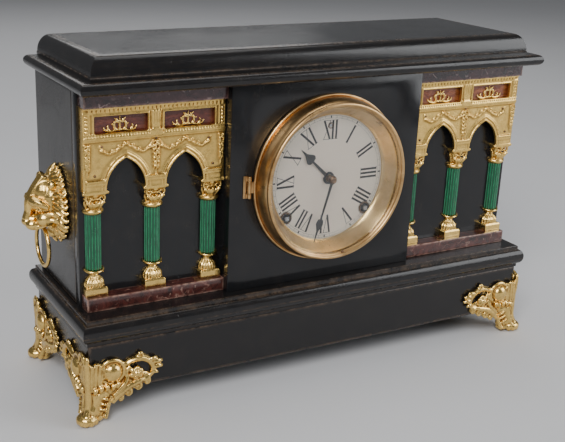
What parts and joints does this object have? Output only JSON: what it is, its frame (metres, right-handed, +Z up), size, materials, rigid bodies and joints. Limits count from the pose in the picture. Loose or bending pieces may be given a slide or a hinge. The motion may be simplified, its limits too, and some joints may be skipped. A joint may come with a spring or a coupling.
{
  "type": "mantel clock",
  "caption": "Black wooden mantel clock with hinged brass bezel, gilt arcades, green half columns, lion masks with rings, scroll feet and a striking movement with a pendulum.",
  "frame": {"origin": "middle of the footprint, on the plane the feet stand on", "axes": "+X to the right of the dial, -Y out of the dial towards the viewer, +Z up"},
  "size_m": [0.4692, 0.1448, 0.2759],
  "materials": {
    "ebonised_wood": "glossy black lacquer over wood",
    "plain_wood": "stained softwood",
    "marbled_wood": "marbled lacquer, polished",
    "gilt_metal": "bright gilt casting",
    "green_lacquer": "glossy malachite-green lacquer",
    "bezel_brass": "polished, lightly toned",
    "clear_glass": "clear",
    "dial_enamel": "cream enamel with printed numerals",
    "black_hands": "black",
    "bronzed_nut": "dark bronze",
    "movement_brass": "brushed",
    "steel": "brushed",
    "iron": "black japanned",
    "door_tin": "dull tinned sheet"
  },
  "bodies": {
    "case": {"plinth_boards": "ebonised_wood", "base_moulding": "ebonised_wood", "front_board": "ebonised_wood", "front_panel": "ebonised_wood", "side_board_right": "ebonised_wood", "side_board_left": "ebonised_wood", "cornice_board": "ebonised_wood", "top_cap": "ebonised_wood", "back_board": "plain_wood", "frieze_strips": "marbled_wood", "sill_strips": "marbled_wood", "arcade_right": "gilt_metal", "arcade_left": "gilt_metal", "column_bases": "gilt_metal", "lion_mask_right": "gilt_metal", "lion_mask_left": "gilt_metal", "foot_front_right": "gilt_metal", "foot_front_left": "gilt_metal", "foot_back_right": "gilt_metal", "foot_back_left": "gilt_metal", "columns": "green_lacquer", "bezel_hinge": "bezel_brass", "dial_plate": "dial_enamel", "front_plate": "movement_brass", "back_plate": "movement_brass", "plate_pillars": "steel", "mainsprings": "steel", "suspension_post": "steel", "gong": "steel", "screws": "steel", "gong_base": "iron", "rear_door_hinge": "door_tin"},
    "bezel": {"bezel_ring": "bezel_brass", "bezel_glass": "clear_glass", "reflector_ring": "bezel_brass", "bezel_catch": "bezel_brass"},
    "rear_door": {"rear_door": "door_tin"},
    "ring_right": {"ring_right": "gilt_metal"},
    "ring_left": {"ring_left": "gilt_metal"},
    "minute_train": {"centre_arbor": "movement_brass", "minute_hand": "black_hands", "hand_nut": "bronzed_nut"},
    "hour_train": {"hour_wheel": "movement_brass", "hour_hand": "black_hands"},
    "minute_wheel": {"minute_wheel": "movement_brass"},
    "second_wheel": {"second_wheel": "movement_brass"},
    "time_great_wheel": {"time_great_wheel": "movement_brass"},
    "time_winding_arbor": {"time_winding_arbor": "steel"},
    "third_wheel": {"third_wheel": "movement_brass"},
    "escape_wheel": {"escape_wheel": "movement_brass"},
    "verge": {"verge": "steel"},
    "pendulum": {"pendulum_rod": "steel", "pendulum_bob": "movement_brass"},
    "regulator_arbor": {"regulator_arbor": "steel"},
    "strike_great_wheel": {"strike_great_wheel": "movement_brass"},
    "strike_winding_arbor": {"strike_winding_arbor": "steel"},
    "strike_second_wheel": {"strike_second_wheel": "movement_brass"},
    "strike_third_wheel": {"strike_third_wheel": "movement_brass"},
    "fly": {"fly": "movement_brass"},
    "hammer": {"strike_hammer": "steel"}
  },
  "joints": [
    {"name": "bezel_swing", "type": "hinge", "parent": "case", "child": "bezel", "pos_m": [-0.0722, -0.0556, 0.1695], "axis": [0, 0, -1], "range_deg": [0, 100]},
    {"name": "rear_door_swing", "type": "hinge", "parent": "case", "child": "rear_door", "pos_m": [-0.0666, 0.0632, 0.1695], "axis": [0, 0, 1], "range_deg": [0, 120]},
    {"name": "ring_right_swing", "type": "hinge", "parent": "case", "child": "ring_right", "pos_m": [0.2183, 0.0082, 0.1375], "axis": [0, -1, 0], "range_deg": [-15, 60]},
    {"name": "ring_left_swing", "type": "hinge", "parent": "case", "child": "ring_left", "pos_m": [-0.2183, 0.0082, 0.1375], "axis": [0, 1, 0], "range_deg": [-15, 60]},
    {"name": "minute_hand_turn", "type": "hinge", "parent": "case", "child": "minute_train", "pos_m": [0, 0, 0.1695], "axis": [0, 1, 0], "continuous": true},
    {"name": "hour_hand_turn", "type": "hinge", "parent": "case", "child": "hour_train", "pos_m": [0, 0, 0.1695], "axis": [0, 1, 0], "continuous": true},
    {"name": "minute_wheel_turn", "type": "hinge", "parent": "case", "child": "minute_wheel", "pos_m": [0.01128, 0, 0.1654], "axis": [0, 1, 0], "continuous": true},
    {"name": "second_wheel_turn", "type": "hinge", "parent": "case", "child": "second_wheel", "pos_m": [0.0022, 0, 0.1456], "axis": [0, 1, 0], "continuous": true},
    {"name": "time_great_wheel_turn", "type": "hinge", "parent": "case", "child": "time_great_wheel", "pos_m": [0.0377, 0, 0.1396], "axis": [0, 1, 0], "continuous": true},
    {"name": "time_winding", "type": "hinge", "parent": "time_great_wheel", "child": "time_winding_arbor", "pos_m": [0.0377, 0, 0.1396], "axis": [0, 1, 0], "continuous": true},
    {"name": "third_wheel_turn", "type": "hinge", "parent": "case", "child": "third_wheel", "pos_m": [0.0141, 0, 0.18738], "axis": [0, 1, 0], "continuous": true},
    {"name": "escape_wheel_turn", "type": "hinge", "parent": "case", "child": "escape_wheel", "pos_m": [0, 0, 0.2025], "axis": [0, 1, 0], "continuous": true},
    {"name": "pendulum_swing", "type": "hinge", "parent": "case", "child": "pendulum", "pos_m": [0, 0.017, 0.2225], "axis": [0, 1, 0], "range_deg": [-4, 4]},
    {"name": "verge_rock", "type": "hinge", "parent": "case", "child": "verge", "pos_m": [0, 0.017, 0.2225], "axis": [0, 1, 0], "range_deg": [-4, 4]},
    {"name": "regulator_turn", "type": "hinge", "parent": "case", "child": "regulator_arbor", "pos_m": [0, -0.054, 0.2125], "axis": [0, 1, 0], "range_deg": [-720, 720]},
    {"name": "strike_great_wheel_turn", "type": "hinge", "parent": "case", "child": "strike_great_wheel", "pos_m": [-0.0377, 0, 0.1396], "axis": [0, 1, 0], "continuous": true},
    {"name": "strike_winding", "type": "hinge", "parent": "strike_great_wheel", "child": "strike_winding_arbor", "pos_m": [-0.0377, 0, 0.1396], "axis": [0, 1, 0], "continuous": true},
    {"name": "strike_second_wheel_turn", "type": "hinge", "parent": "case", "child": "strike_second_wheel", "pos_m": [-0.0296, 0, 0.17468], "axis": [0, 1, 0], "continuous": true},
    {"name": "strike_third_wheel_turn", "type": "hinge", "parent": "case", "child": "strike_third_wheel", "pos_m": [-0.02365, 0, 0.19544], "axis": [0, 1, 0], "continuous": true},
    {"name": "fly_turn", "type": "hinge", "parent": "case", "child": "fly", "pos_m": [-0.0373, 0, 0.20689], "axis": [0, 1, 0], "continuous": true},
    {"name": "hammer_lift", "type": "hinge", "parent": "case", "child": "hammer", "pos_m": [-0.057, 0, 0.1995], "axis": [0, -1, 0], "range_deg": [0, 15], "stiffness_Nm_per_rad": 0.01, "springref_deg": -22.92}
  ],
  "couplings": [
    {"joint": "hour_hand_turn", "follows": "minute_hand_turn", "ratio": 0.083333},
    {"joint": "minute_wheel_turn", "follows": "minute_hand_turn", "ratio": -0.33333},
    {"joint": "second_wheel_turn", "follows": "minute_hand_turn", "ratio": -0.33333},
    {"joint": "time_great_wheel_turn", "follows": "minute_hand_turn", "ratio": 0.051282},
    {"joint": "third_wheel_turn", "follows": "minute_hand_turn", "ratio": -10.5},
    {"joint": "escape_wheel_turn", "follows": "minute_hand_turn", "ratio": 126},
    {"joint": "verge_rock", "follows": "pendulum_swing", "ratio": 1},
    {"joint": "strike_second_wheel_turn", "follows": "strike_great_wheel_turn", "ratio": -6.5},
    {"joint": "strike_third_wheel_turn", "follows": "strike_great_wheel_turn", "ratio": 58.5},
    {"joint": "fly_turn", "follows": "strike_great_wheel_turn", "ratio": -468}
  ]
}
